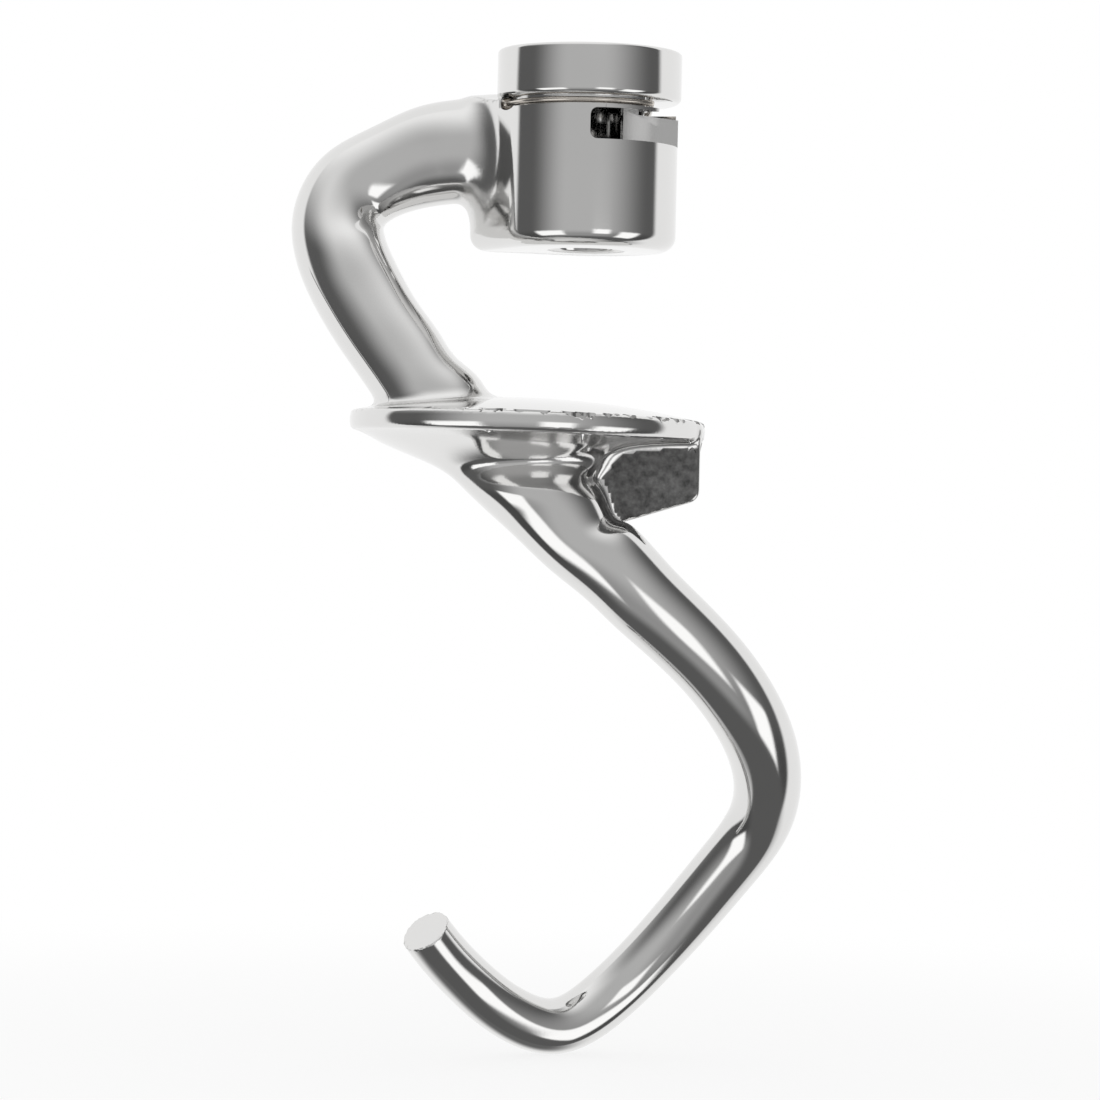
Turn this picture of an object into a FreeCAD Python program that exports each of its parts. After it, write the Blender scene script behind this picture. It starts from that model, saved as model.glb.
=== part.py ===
import FreeCAD, Part
import math
import os
from FreeCAD import Vector

os.makedirs("parts", exist_ok=True)

# Spiral dough hook for a five litre tilt-head stand mixer: one aluminium casting,
# ground and polished, with a sprung wire clip in the neck groove of its hub.
# Origin: drive bore axis at the top of the hub, +Z up the shaft, -Y the side seen
# when the pin window faces the user. All sizes in millimetres.

# Drive hub
BORE_D = 13.0            # half inch class beater shaft with running clearance
BORE_LEAD = 0.6          # eased edge where the bore leaves the hub's foot
COLLAR_D = 33.6
COLLAR_H = 9.2
NECK_D = 29.0            # bottom of the groove that holds the clip
NECK_H = 1.8
BODY_D = 32.6
HUB_H = 36.2
TOP_ROUND = 0.7
COLLAR_ROUND = 1.1
FOOT_ROUND = 2.8

# Lug that carries the arm at the back left of the hub
LUG_R = 5.5
LUG_X = -15.8
LUG_Y = 6.0

# Bayonet for the shaft's cross pin
PIN_REACH = 10.5         # how far from the axis the pin sweeps
PIN_WAY = 5.4            # width of the channel that the pin drops down
PIN_FLOOR = 17.2         # depth of the pin's seat below the hub's top
WINDOW_L = 0.2
WINDOW_R = 6.1
WINDOW_H = 5.6
WINDOW_ROUND = 1.3
FLAT_OUT = 12.9          # flat-faced pocket beside the window, from the axis
FLAT_TURN = -42.0
RAMP_DROP = 1.4          # the pocket's roof slopes away by this step
RAMP_LIFT = 0.8          # how far the step cuts above the pocket's roof
RAMP_OUT = 9.0
RAMP_WIDE = 14.0
RAMP_TURN = -14.0

# Clip, one turn of spring wire
CLIP_D = 1.0
CLIP_R = 15.1
CLIP_HEAD_D = 2.4        # ball at the wire's end, in a pocket beside the arm
CLIP_POCKET_D = 2.9
CLIP_POCKET_BACK = 0.6
CLIP_CHORD_X = 11.2      # straight side that snaps over the pin
CLIP_FROM = 190.0
CLIP_TO = 122.0

# Guard, the round plate that keeps dough from climbing
GUARD_D = 64.8
GUARD_T = 3.4            # at the rim
GUARD_CROWN = 3.3        # rise of the domed top
GUARD_X = -9.9
GUARD_TOP = 66.6         # rim's top edge below the hub's top
GUARD_LEAN = 0.9         # falls a little to the right
RIM_ROUND = 0.5
RIM_CURVE = 4.0          # the rim's wall bulges on this radius

# Web under the guard
WEB_LEFT = -4.0
WEB_RIGHT = 21.4
WEB_BOTTOM = 81.3
WEB_HEEL = 2.0           # inner end of its sloping bottom edge
WEB_DROP = 6.1           # how much lower that end is
WEB_FRONT = -9.5
WEB_T = 4.5
WEB_ROUND = 1.6

# The casting winds down the shaft as a left-handed spiral. Stations of the arm,
# hub to guard: x, y, depth below the hub's top, lean, half width, half thickness.
# Lean is the way the metal runs, seen from the front: 0 down, 90 to the right.
ARM_ROOT = [
    (-12.9, 6.0, 20.1, -88.0, 12.7, 8.4),
    (-18.7, 6.6, 19.4, -88.0, 11.6, 8.2),
    (-22.0, 7.0, 18.2, -87.0, 10.0, 8.0),
    (-26.0, 7.6, 18.2, -85.0, 9.5, 7.8),
    (-30.6, 8.4, 19.1, -81.0, 9.25, 7.5),
]
BEND_X = -35.5           # the shoulder turns about this point
BEND_DEPTH = 32.4
BEND_R = 10.2
BEND_HALF = 8.5
BEND_SQUARE = 2.3        # 2 is an ellipse, more is squarer on the inner side
BEND = [
    (-66.0, 9.0, 7.2),
    (-46.0, 9.2, 7.8),
    (-26.0, 9.0, 8.8),
    (-6.0, 8.1, 9.6),
    (14.0, 6.5, 10.0),
]
FOOT_BLEND = 2.0         # fillet where the arm lands on the guard
BLADE_SQUARE = 2.8
ARM_BLADE = [
    (-42.0, 3.3, 43.2, 28.0, 8.45, 10.0),
    (-36.6, -0.3, 51.8, 35.0, 8.25, 9.9),
    (-32.6, -2.6, 57.2, 36.5, 8.25, 9.8),
    (-29.4, -4.3, 61.7, 36.0, 8.4, 9.9),
    (-26.6, -5.4, 64.9, 27.0, 9.3, 9.9),
    (-25.4, -6.0, 67.5, 12.0, 9.6, 10.1),
]

# Trumpet that spreads from the rod's head to the whole underside of the guard. Its
# front is hollow just above the head, which stands forward again below it.
SEAT_IN = 1.6            # how far inside the guard's edge the trumpet starts
SEAT_SINK = 0.3          # how far it starts inside the plate
MOUTH_AT = (-13.0, -1.1, 71.9, 0.5)
MOUTH_IN = (7.4, 9.4)    # how much narrower and thinner than its start the mouth is
TRUMPET = [
    (-10.9, -3.4, 75.0, 2.0, 17.0, 14.1),
    (-9.2, -8.3, 78.9, 6.8, 11.9, 12.0),
    (-5.25, -11.4, 83.3, 16.8, 9.7, 9.8),
    (-1.3, -13.0, 88.0, 23.4, 8.2, 8.3),
]

# Stations of the rod: turn about the shaft seen from above, reach from the shaft,
# depth, half width, half thickness
ROD = [
    (286.0, 14.9, 91.9, 7.75, 7.7),
    (308.0, 18.1, 98.5, 7.4, 7.4),
    (319.0, 20.6, 102.5, 7.2, 7.2),
    (335.6, 26.6, 110.8, 6.95, 6.9),
    (347.2, 31.6, 119.5, 6.7, 6.6),
    (355.8, 34.2, 126.3, 6.45, 6.4),
    (364.0, 35.5, 133.1, 6.15, 6.2),
    (372.4, 35.0, 140.1, 5.95, 6.0),
    (382.0, 30.8, 148.9, 5.8, 5.85),
    (393.6, 26.1, 157.8, 5.65, 5.7),
    (407.4, 21.7, 166.2, 5.45, 5.5),
    (426.4, 16.9, 174.1, 5.35, 5.3),
    (460.0, 12.2, 178.9, 5.2, 5.1),
    (505.5, 13.3, 176.1, 5.0, 4.9),
    (534.0, 19.0, 169.4, 4.8, 4.7),
    (547.2, 24.2, 163.5, 4.7, 4.6),
    (552.0, 26.9, 160.3, 4.65, 4.5),
]
TIP_ROUND = 0.8

DEPTHWAYS = Vector(0, 1, 0)
OVERLAP = 1.0            # how far a cut or a joined solid runs past the face it meets
SAME = 1e-4              # levels closer than this are one level
RING_POINTS = 20


# A point that is given by its turn about the shaft, its reach and its depth
def on_spiral(turn, reach, depth):
    angle = math.radians(turn)
    return Vector(reach * math.cos(angle), reach * math.sin(angle), -depth)


# One closed cross-section: round on the outside of the bend, squarer on the inside
def section(centre, along, half_width, half_thickness, square=2.0):
    across = along.cross(DEPTHWAYS).normalize()
    through = across.cross(along).normalize()
    points = []
    for i in range(RING_POINTS):
        angle = 2 * math.pi * i / RING_POINTS
        c = math.cos(angle)
        s = math.sin(angle)
        power = 2.0 / (square if c > 0 else 2.0)
        u = math.copysign(abs(c) ** power, c)
        v = math.copysign(abs(s) ** power, s)
        points.append(centre + across * (half_width * u) + through * (half_thickness * v))
    outline = Part.BSplineCurve()
    outline.interpolate(Points=points, PeriodicFlag=True)
    return Part.Wire([outline.toShape()])


# A section whose lean is stated
def leaning(x, y, depth, lean, half_width, half_thickness, square=2.0):
    tilt = math.radians(lean)
    along = Vector(math.sin(tilt), 0, -math.cos(tilt))
    return section(Vector(x, y, -depth), along, half_width, half_thickness, square)


# Sections square to a smooth line through the stations
def sections_along(stations):
    centres = [on_spiral(*s[:3]) for s in stations]
    line = Part.BSplineCurve()
    line.interpolate(Points=centres)
    found = []
    for centre, station in zip(centres, stations):
        along = line.tangent(line.parameter(centre))[0]
        found.append(section(centre, along, station[3], station[4]))
    return found


def body_outline():
    hub = BODY_D / 2
    gap = math.hypot(LUG_X, LUG_Y)
    lie = math.atan2(LUG_Y, LUG_X)
    spread = math.acos((hub - LUG_R) / gap)
    ends = []
    for angle in (lie - spread, lie + spread):
        away = Vector(math.cos(angle), math.sin(angle), 0)
        ends.append((away * hub, Vector(LUG_X, LUG_Y, 0) + away * LUG_R))
    (back_hub, back_lug), (front_hub, front_lug) = ends
    far = Vector(math.cos(lie), math.sin(lie), 0)
    hub_arc = Part.Arc(front_hub, far * -hub, back_hub)
    lug_arc = Part.Arc(back_lug, Vector(LUG_X, LUG_Y, 0) + far * LUG_R, front_lug)
    edges = [
        hub_arc.toShape(),
        Part.makeLine(back_hub, back_lug),
        lug_arc.toShape(),
        Part.makeLine(front_lug, front_hub),
    ]
    return Part.Wire(edges)


# Rounds every edge of a solid that lies in one level plane
def round_level(solid, level, radius):
    edges = []
    for edge in solid.Edges:
        box = edge.BoundBox
        if abs(box.ZMin - level) < SAME and abs(box.ZMax - level) < SAME:
            edges.append(edge)
    return solid.makeFillet(radius, edges)


def hub():
    collar = Part.makeCylinder(COLLAR_D / 2, COLLAR_H, Vector(0, 0, -COLLAR_H))
    collar = round_level(collar, 0.0, TOP_ROUND)
    collar = round_level(collar, -COLLAR_H, COLLAR_ROUND)
    neck_foot = Vector(0, 0, -COLLAR_H - NECK_H - OVERLAP)
    neck = Part.makeCylinder(NECK_D / 2, NECK_H + 2 * OVERLAP, neck_foot)
    height = HUB_H - COLLAR_H - NECK_H
    body = Part.Face(body_outline()).extrude(Vector(0, 0, height))
    body.translate(Vector(0, 0, -HUB_H))
    body = round_level(body, -HUB_H, FOOT_ROUND)
    return collar.fuse([neck, body])


def drive_bore():
    cut = Part.makeCylinder(BORE_D / 2, HUB_H + 2 * OVERLAP, Vector(0, 0, -HUB_H - OVERLAP))
    wide = BORE_D / 2 + BORE_LEAD
    foot = Part.makeCone(wide, BORE_D / 2, BORE_LEAD, Vector(0, 0, -HUB_H))
    return cut.fuse(foot)


def bayonet():
    seat_top = PIN_FLOOR - WINDOW_H
    channel = Part.makeBox(PIN_REACH, PIN_WAY, PIN_FLOOR + OVERLAP, Vector(0, -PIN_WAY / 2, -PIN_FLOOR))
    sweep = Part.makeCylinder(PIN_REACH, WINDOW_H, Vector(0, 0, -PIN_FLOOR), Vector(0, 0, 1), 90)
    sweep.rotate(Vector(0, 0, 0), Vector(0, 0, 1), -90)
    window = Part.makeBox(WINDOW_R - WINDOW_L, BODY_D, WINDOW_H, Vector(WINDOW_L, -BODY_D, -PIN_FLOOR))
    corners = [
        e for e in window.Edges
        if abs(e.BoundBox.XMin - WINDOW_L) < SAME and abs(e.BoundBox.XMax - WINDOW_L) < SAME
        and e.BoundBox.YLength > BODY_D / 2
    ]
    window = window.makeFillet(WINDOW_ROUND, corners)
    pocket = Part.makeBox(BODY_D, BODY_D, WINDOW_H, Vector(FLAT_OUT, -BODY_D / 2, -PIN_FLOOR))
    pocket.rotate(Vector(0, 0, 0), Vector(0, 0, 1), FLAT_TURN)
    step = Vector(RAMP_OUT, -RAMP_WIDE / 2, RAMP_LIFT - seat_top - RAMP_DROP)
    ramp = Part.makeBox(BODY_D, RAMP_WIDE, RAMP_DROP, step)
    ramp.rotate(Vector(0, 0, 0), Vector(0, 0, 1), RAMP_TURN)
    snap_top = COLLAR_H + NECK_H
    snap = Part.makeBox(BODY_D, BODY_D, NECK_H, Vector(CLIP_CHORD_X - CLIP_D, -BODY_D / 2, -snap_top))
    ball = clip_point(CLIP_FROM)
    depth = Vector(ball.x, CLIP_POCKET_BACK - COLLAR_D / 2, ball.z)
    seat = Part.makeCylinder(CLIP_POCKET_D / 2, COLLAR_D / 2, depth, DEPTHWAYS)
    return channel.fuse([sweep, window, pocket, ramp, snap, seat])


def guard():
    bulge = RIM_CURVE - math.sqrt(RIM_CURVE ** 2 - (GUARD_T / 2) ** 2)
    radius = GUARD_D / 2 - bulge
    foot = Vector(radius, 0, -GUARD_T)
    wall = Part.Arc(foot, Vector(GUARD_D / 2, 0, -GUARD_T / 2), Vector(radius, 0, 0))
    profile = [
        Part.makeLine(Vector(0, 0, -GUARD_T), foot),
        wall.toShape(),
        crown_arc(radius),
        Part.makeLine(Vector(0, 0, GUARD_CROWN), Vector(0, 0, -GUARD_T)),
    ]
    plate = Part.Face(Part.Wire(profile)).revolve(Vector(0, 0, 0), Vector(0, 0, 1), 360)
    plate = round_level(plate, 0.0, RIM_ROUND)
    return round_level(plate, -GUARD_T, RIM_ROUND)


def crown_arc(radius):
    ball = (radius ** 2 + GUARD_CROWN ** 2) / (2 * GUARD_CROWN)
    half = radius / 2
    height = GUARD_CROWN - ball + math.sqrt(ball ** 2 - half ** 2)
    return Part.Arc(Vector(radius, 0, 0), Vector(half, 0, height), Vector(0, 0, GUARD_CROWN)).toShape()


# Tips a piece that was drawn level into the guard's own plane
def set_in_guard_plane(shape):
    shape.rotate(Vector(0, 0, 0), Vector(0, 1, 0), GUARD_LEAN)
    shape.translate(Vector(GUARD_X, 0, -GUARD_TOP))
    return shape


def arm():
    rings = [leaning(*station) for station in ARM_ROOT]
    for lean, y, half_thickness in BEND:
        x = BEND_X - BEND_R * math.cos(math.radians(lean))
        depth = BEND_DEPTH + BEND_R * math.sin(math.radians(lean))
        rings.append(leaning(x, y, depth, lean, BEND_HALF, half_thickness, BEND_SQUARE))
    rings += [leaning(*station, BLADE_SQUARE) for station in ARM_BLADE]
    return Part.makeLoft(rings, True, False)


def rod():
    start = GUARD_D / 2 - SEAT_IN
    seat = section(Vector(0, 0, SEAT_SINK - GUARD_T), Vector(0, 0, -1), start, start)
    mouth = leaning(*MOUTH_AT, start - MOUTH_IN[0], start - MOUTH_IN[1])
    rings = [set_in_guard_plane(seat), mouth]
    rings += [leaning(*station) for station in TRUMPET]
    rings += sections_along(ROD)
    rod_solid = Part.makeLoft(rings, True, False)
    tip = min(rod_solid.Faces, key=lambda face: face.Area)
    return rod_solid.makeFillet(TIP_ROUND, tip.Edges)


def web():
    top = -GUARD_TOP - GUARD_T / 2
    low = -WEB_BOTTOM
    outline = [
        Vector(WEB_LEFT, WEB_FRONT, top),
        Vector(WEB_RIGHT, WEB_FRONT, top),
        Vector(WEB_RIGHT, WEB_FRONT, low),
        Vector(WEB_HEEL, WEB_FRONT, low - WEB_DROP),
        Vector(WEB_LEFT, WEB_FRONT, low),
    ]
    plate = Part.Face(Part.makePolygon(outline + outline[:1])).extrude(Vector(0, WEB_T, 0))
    corner = [
        e for e in plate.Edges
        if e.BoundBox.YLength > WEB_T / 2 and abs(e.BoundBox.XMax - WEB_RIGHT) < SAME
        and abs(e.BoundBox.ZMax - low) < SAME
    ]
    return plate.makeFillet(WEB_ROUND, corner)


# The line along which the arm meets the guard's dome
def foot_line(shape):
    top = -GUARD_TOP + GUARD_CROWN + OVERLAP
    low = -GUARD_TOP - OVERLAP
    found = []
    for edge in shape.Edges:
        box = edge.BoundBox
        if box.ZMin > low and box.ZMax < top and box.XMax < GUARD_X:
            found.append(edge)
    return found


def hook_casting():
    solid = rod().fuse(set_in_guard_plane(guard())).fuse(web()).fuse(arm())
    solid = solid.makeFillet(FOOT_BLEND, foot_line(solid))
    solid = solid.fuse(hub())
    solid = solid.cut(drive_bore().fuse(bayonet()))
    return solid.Solids[0]


def clip_point(turn, radius=CLIP_R):
    angle = math.radians(turn)
    level = -(COLLAR_H + NECK_H / 2)
    return Vector(radius * math.cos(angle), radius * math.sin(angle), level)


def spring_clip():
    bend = math.degrees(math.acos(CLIP_CHORD_X / CLIP_R))
    behind = (CLIP_FROM - bend) / 2 + 180.0
    near = Part.Arc(clip_point(CLIP_FROM), clip_point(behind), clip_point(-bend))
    far = Part.Arc(clip_point(bend), clip_point((bend + CLIP_TO) / 2), clip_point(CLIP_TO))
    chord = Part.makeLine(clip_point(-bend), clip_point(bend))
    path = Part.Wire([near.toShape(), chord, far.toShape()])
    start = clip_point(CLIP_FROM)
    round_wire = Part.Wire([Part.makeCircle(CLIP_D / 2, start, near.tangent(near.FirstParameter)[0])])
    wire = path.makePipeShell([round_wire], True, False, 2)
    head = Part.makeSphere(CLIP_HEAD_D / 2, start)
    return wire.fuse(head).Solids[0]


casting = hook_casting()
clip = spring_clip()
casting.exportStep("parts/hook_casting.step")
clip.exportStep("parts/spring_clip.step")
for name, shape in (("hook_casting", casting), ("spring_clip", clip)):
    box = shape.BoundBox
    print(name, shape.ShapeType, "valid", shape.isValid(), "solids", len(shape.Solids))
    print("  volume", round(shape.Volume))
    print("  x", round(box.XMin, 1), round(box.XMax, 1), "y", round(box.YMin, 1), round(box.YMax, 1),
          "z", round(box.ZMin, 1), round(box.ZMax, 1))
print("clip in casting", round(casting.common(clip).Volume, 3))
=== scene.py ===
import math

import bmesh
import bpy
import numpy as np
from mathutils import Matrix, Vector
from mathutils.bvhtree import BVHTree
from mathutils.interpolate import poly_3d_calc


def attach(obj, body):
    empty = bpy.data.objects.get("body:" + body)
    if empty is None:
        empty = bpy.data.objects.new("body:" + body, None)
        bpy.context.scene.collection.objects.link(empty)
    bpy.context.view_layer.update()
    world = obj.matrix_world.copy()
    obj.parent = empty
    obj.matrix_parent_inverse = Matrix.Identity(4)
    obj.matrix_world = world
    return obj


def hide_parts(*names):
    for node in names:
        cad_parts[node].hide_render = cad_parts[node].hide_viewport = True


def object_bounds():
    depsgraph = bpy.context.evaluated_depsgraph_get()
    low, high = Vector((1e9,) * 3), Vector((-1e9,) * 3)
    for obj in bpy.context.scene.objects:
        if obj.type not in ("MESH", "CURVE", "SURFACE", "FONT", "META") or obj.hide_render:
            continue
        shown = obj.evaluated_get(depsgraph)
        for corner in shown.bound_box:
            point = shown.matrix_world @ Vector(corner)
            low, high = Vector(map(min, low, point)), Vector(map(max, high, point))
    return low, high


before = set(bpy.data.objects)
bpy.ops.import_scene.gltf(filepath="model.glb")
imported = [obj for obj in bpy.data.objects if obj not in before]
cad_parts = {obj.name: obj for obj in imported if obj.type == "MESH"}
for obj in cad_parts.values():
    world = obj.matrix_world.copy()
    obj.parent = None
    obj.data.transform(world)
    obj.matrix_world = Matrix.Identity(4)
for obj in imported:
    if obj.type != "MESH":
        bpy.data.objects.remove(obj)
cad_low, cad_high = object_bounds()
scene = bpy.context.scene

# Camera. A long lens three quarters of a metre in front of the hook, level with the
# middle of its height, and rolled a little, so that the hub leans to the right.
MM = 0.001
PHOTO_SIDE = 1100
FOCAL_PIXELS = 4250.0
SENSOR = 36.0
CAMERA_AT = Vector((-5.29, -774.8, -90.87)) * MM
CAMERA_ROLL = math.radians(-1.3)

lens = bpy.data.cameras.new("camera")
lens.sensor_width = SENSOR
lens.lens = SENSOR * FOCAL_PIXELS / PHOTO_SIDE
lens.clip_start = 0.05
lens.clip_end = 30.0
camera = bpy.data.objects.new("camera", lens)
level_view = Matrix.Rotation(math.pi / 2, 4, "X")
camera.matrix_world = Matrix.Translation(CAMERA_AT) @ Matrix.Rotation(CAMERA_ROLL, 4, "Y") @ level_view
scene.collection.objects.link(camera)
scene.camera = camera


# Arm. The cranked neck of the casting, poured in aluminium with the hub and guard:
# wide where it leaves the hub, deep and squarer along the blade down to the guard.
# Stations: x, y, depth below the hub's top, lean, half width, half thickness, squareness.
ARM_STATIONS = [
    (-12.9, 6.0, 20.1, -88.0, 12.7, 8.4, 2.0),
    (-18.7, 6.6, 19.4, -88.0, 11.6, 8.2, 2.0),
    (-22.0, 7.0, 18.2, -87.0, 10.0, 8.0, 2.0),
    (-26.0, 7.6, 18.2, -85.0, 9.5, 7.8, 2.0),
    (-30.6, 8.4, 19.1, -81.0, 9.25, 7.5, 2.0),
]
SHOULDER_AT = (-35.5, 32.4)
SHOULDER_RADIUS = 10.2
SHOULDER_HALF = 8.5
SHOULDER_SQUARE = 2.3
# Stations round the shoulder: lean, y, half thickness
SHOULDER_STATIONS = [
    (-66.0, 9.0, 7.2),
    (-46.0, 9.2, 7.8),
    (-26.0, 9.0, 8.8),
    (-6.0, 8.1, 9.6),
    (14.0, 6.5, 10.0),
]
BLADE_STATIONS = [
    (-42.0, 3.3, 43.2, 28.0, 8.45, 10.0, 2.8),
    (-36.6, -0.3, 51.8, 35.0, 8.25, 9.9, 2.8),
    (-32.6, -2.6, 57.2, 36.5, 8.25, 9.8, 2.8),
    (-29.4, -4.3, 61.7, 36.0, 8.4, 9.9, 2.8),
    (-26.6, -5.4, 64.9, 27.0, 9.3, 9.9, 2.8),
    (-25.4, -6.0, 67.5, 12.0, 9.6, 10.1, 2.8),
]
RING_STEP = 0.45
AROUND = 96


# A number, vector or socket in a node tree, with the usual signs for sums
class Term:
    def __init__(self, tree, value):
        self.tree = tree
        self.value = value

    def node(self, kind, inputs=(), out=0, **settings):
        made = self.tree.nodes.new(kind)
        for name, setting in settings.items():
            setattr(made, name, setting)
        pairs = inputs.items() if isinstance(inputs, dict) else enumerate(inputs)
        for place, given in pairs:
            given = given.value if isinstance(given, Term) else given
            if isinstance(given, bpy.types.NodeSocket):
                self.tree.links.new(given, made.inputs[place])
            elif given is not None:
                made.inputs[place].default_value = given
        return Term(self.tree, made.outputs[out])

    def maths(self, operation, *others):
        return self.node("ShaderNodeMath", (self, *others), operation=operation)

    def vector(self, operation, *others, out=0):
        return self.node("ShaderNodeVectorMath", (self, *others), out, operation=operation)

    # Runs softly from bottom to top while this value runs from low to high
    def eased(self, low, high, bottom=0.0, top=1.0):
        return self.node("ShaderNodeMapRange", (self, low, high, bottom, top),
                         interpolation_type="SMOOTHSTEP")

    # The x, y and z of a vector
    def split(self):
        node = self.node("ShaderNodeSeparateXYZ", [self]).value.node
        return [Term(self.tree, node.outputs[i]) for i in range(3)]

    def __add__(self, other):
        return self.maths("ADD", other)

    def __sub__(self, other):
        return self.maths("SUBTRACT", other)

    def __mul__(self, other):
        return self.maths("MULTIPLY", other)

    def __truediv__(self, other):
        return self.maths("DIVIDE", other)

    def __pow__(self, other):
        return self.maths("POWER", other)

    def __radd__(self, other):
        return Term(self.tree, float(other)) + self

    def __rsub__(self, other):
        return Term(self.tree, float(other)) - self

    def __rmul__(self, other):
        return Term(self.tree, float(other)) * self

    def __rtruediv__(self, other):
        return Term(self.tree, float(other)) / self


# Rows of numbers, joined by a natural cubic curve and read off again at a finer step
def joined(rows, step):
    rows = np.array(rows, float)
    lengths = np.linalg.norm(np.diff(rows[:, :3], axis=0), axis=1)
    reach = np.concatenate([[0.0], np.cumsum(lengths)])
    gap = np.diff(reach)
    count = len(rows)
    left = np.eye(count)
    right = np.zeros_like(rows)
    for i in range(1, count - 1):
        left[i, i - 1:i + 2] = gap[i - 1], 2 * (gap[i - 1] + gap[i]), gap[i]
        right[i] = 6 * ((rows[i + 1] - rows[i]) / gap[i] - (rows[i] - rows[i - 1]) / gap[i - 1])
    bend = np.linalg.solve(left, right)
    places = np.linspace(0, reach[-1], int(reach[-1] / step) + 2)
    span = np.clip(np.searchsorted(reach, places, "right") - 1, 0, count - 2)
    wide = gap[span][:, None]
    a = (reach[span + 1] - places)[:, None] / wide
    b = 1 - a
    bow = (a ** 3 - a) * bend[span] + (b ** 3 - b) * bend[span + 1]
    return a * rows[span] + b * rows[span + 1] + bow * wide ** 2 / 6


def leaning(x, y, depth, lean, half_width, half_thickness, square):
    tilt = math.radians(lean)
    return (x, y, -depth, math.sin(tilt), 0.0, -math.cos(tilt), half_width, half_thickness, square)


# An empty node tree with its named inputs and its one output
def new_tree(name, output, **inputs):
    tree = bpy.data.node_groups.new(name, "GeometryNodeTree")
    for title, kind in inputs.items():
        tree.interface.new_socket(title, in_out="INPUT", socket_type="NodeSocket" + kind)
    tree.interface.new_socket(output, in_out="OUTPUT", socket_type="NodeSocketGeometry")
    return tree, tree.nodes.new("NodeGroupInput").outputs, Term(tree, None)


# Ends a tree in plain mesh with the finish that it was given
def ended(tree, given, shape):
    real = shape.node("GeometryNodeRealizeInstances", [shape])
    done = real.node("GeometryNodeSetMaterial", {"Geometry": real, "Material": given["Finish"]})
    tree.links.new(done.value, tree.nodes.new("NodeGroupOutput").inputs[0])
    return tree


# The node tree that sweeps a changing ring along a line of stations and closes its ends
def bar_tree():
    tree, given, start = new_tree("cast bar", "Bar", Line="Geometry", Around="Int", Finish="Material")
    around = given["Around"]

    def attribute(name, kind):
        return start.node("GeometryNodeInputNamedAttribute", {"Name": name}, data_type=kind)

    def store(geometry, name, value, kind):
        return start.node("GeometryNodeStoreNamedAttribute",
                          {"Geometry": geometry, "Name": name, "Value": value},
                          data_type=kind, domain="POINT")

    line = start.node("GeometryNodeMeshToCurve", [given["Line"]])
    line = store(line, "centre", start.node("GeometryNodeInputPosition"), "FLOAT_VECTOR")
    ring = start.node("GeometryNodeCurvePrimitiveCircle", {"Resolution": around}, mode="RADIUS")
    turn = start.node("GeometryNodeInputIndex") * (2 * math.pi) / Term(tree, around)
    ring = store(ring, "turn", turn, "FLOAT")
    tube = start.node("GeometryNodeCurveToMesh", {"Curve": line, "Profile Curve": ring, "Fill Caps": True})
    turn = attribute("turn", "FLOAT")
    cosine = turn.maths("COSINE")
    sine = turn.maths("SINE")
    inside = cosine.maths("GREATER_THAN", 0.0)
    power = 1 + inside * (2 / attribute("square", "FLOAT") - 1)
    width = cosine.maths("SIGN") * cosine.maths("ABSOLUTE") ** power * attribute("half_width", "FLOAT")
    depth = sine.maths("SIGN") * sine.maths("ABSOLUTE") ** power * attribute("half_thickness", "FLOAT")
    along = attribute("along", "FLOAT_VECTOR")
    across = along.vector("CROSS_PRODUCT", (0, 1, 0)).vector("NORMALIZE")
    through = across.vector("CROSS_PRODUCT", along).vector("NORMALIZE")
    sideways = across.node("ShaderNodeVectorMath", {0: across, 3: width}, operation="SCALE")
    deepways = across.node("ShaderNodeVectorMath", {0: through, 3: depth}, operation="SCALE")
    place = attribute("centre", "FLOAT_VECTOR").vector("ADD", sideways).vector("ADD", deepways)
    return ended(tree, given, start.node("GeometryNodeSetPosition", {"Geometry": tube, "Position": place}))


def set_input(modifier, name, value):
    for item in modifier.node_group.interface.items_tree:
        if item.in_out == "INPUT" and item.name == name:
            modifier[item.identifier] = value


# Runs a node tree on a mesh and keeps what comes out as plain mesh
def grown(mesh, tree, **inputs):
    holder = bpy.data.objects.new(mesh.name, mesh)
    scene.collection.objects.link(holder)
    modifier = holder.modifiers.new("shape", "NODES")
    modifier.node_group = tree
    for name, value in inputs.items():
        set_input(modifier, name, value)
    graph = bpy.context.evaluated_depsgraph_get()
    made = bpy.data.meshes.new_from_object(holder.evaluated_get(graph))
    bpy.data.objects.remove(holder)
    return made


def facing_out(mesh):
    shape = bmesh.new()
    shape.from_mesh(mesh)
    bmesh.ops.recalc_face_normals(shape, faces=shape.faces)
    shape.to_mesh(mesh)
    shape.free()
    return mesh


def line_of(name, places):
    line = bpy.data.meshes.new(name)
    line.from_pydata(places, [(i, i + 1) for i in range(len(places) - 1)], [])
    return line


def bar(name, stations):
    rows = joined(stations, RING_STEP)
    line = line_of(name, (rows[:, :3] * MM).tolist())
    line.attributes.new("along", "FLOAT_VECTOR", "POINT").data.foreach_set("vector", rows[:, 3:6].ravel())
    for column, title in ((6, "half_width"), (7, "half_thickness")):
        line.attributes.new(title, "FLOAT", "POINT").data.foreach_set("value", rows[:, column] * MM)
    line.attributes.new("square", "FLOAT", "POINT").data.foreach_set("value", rows[:, 8])
    return facing_out(grown(line, bar_tree(), Around=AROUND))


def shoulder(lean, y, half_thickness):
    tilt = math.radians(lean)
    x = SHOULDER_AT[0] - SHOULDER_RADIUS * math.cos(tilt)
    depth = SHOULDER_AT[1] + SHOULDER_RADIUS * math.sin(tilt)
    return leaning(x, y, depth, lean, SHOULDER_HALF, half_thickness, SHOULDER_SQUARE)


arm_rows = [leaning(*row) for row in ARM_STATIONS]
arm_rows += [shoulder(*row) for row in SHOULDER_STATIONS]
arm_rows += [leaning(*row) for row in BLADE_STATIONS]
arm = bar("arm", arm_rows)


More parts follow.
